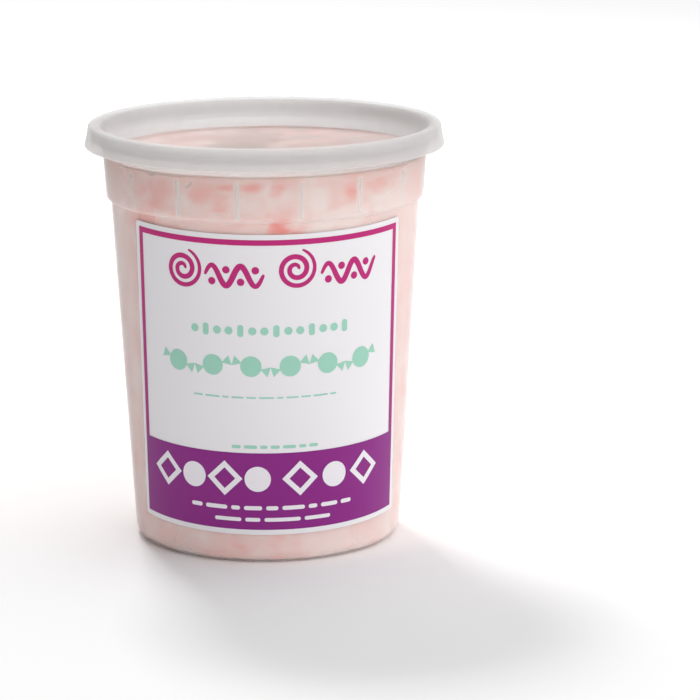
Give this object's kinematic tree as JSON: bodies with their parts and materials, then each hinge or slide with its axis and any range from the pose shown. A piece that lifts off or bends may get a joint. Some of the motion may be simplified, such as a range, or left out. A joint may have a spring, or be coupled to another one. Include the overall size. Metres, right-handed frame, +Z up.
{
  "type": "tub of cotton candy",
  "caption": "Round tapered deli tub with a stepped collar and a recessed press-on lid, packed with pink cotton candy, with a square label wrapped on its front.",
  "frame": {"origin": "centre of the tub's base, on the surface it stands on", "axes": "+Z up the tub's axis, -Y out through the middle of the label, +X to the label's right"},
  "size_m": [0.12, 0.12, 0.1405],
  "materials": {
    "tub_plastic": "frosted translucent polypropylene, thin moulded wall",
    "lid_plastic": "milky translucent polypropylene with a soft gloss",
    "sugar_floss": "soft pale pink spun sugar with deeper pink pressed patches",
    "label_stock": "white coated label stock with a printed frame and band"
  },
  "bodies": {
    "root": {"tub": "tub_plastic", "lid": "lid_plastic", "candy": "sugar_floss", "label": "label_stock"}
  },
  "joints": []
}
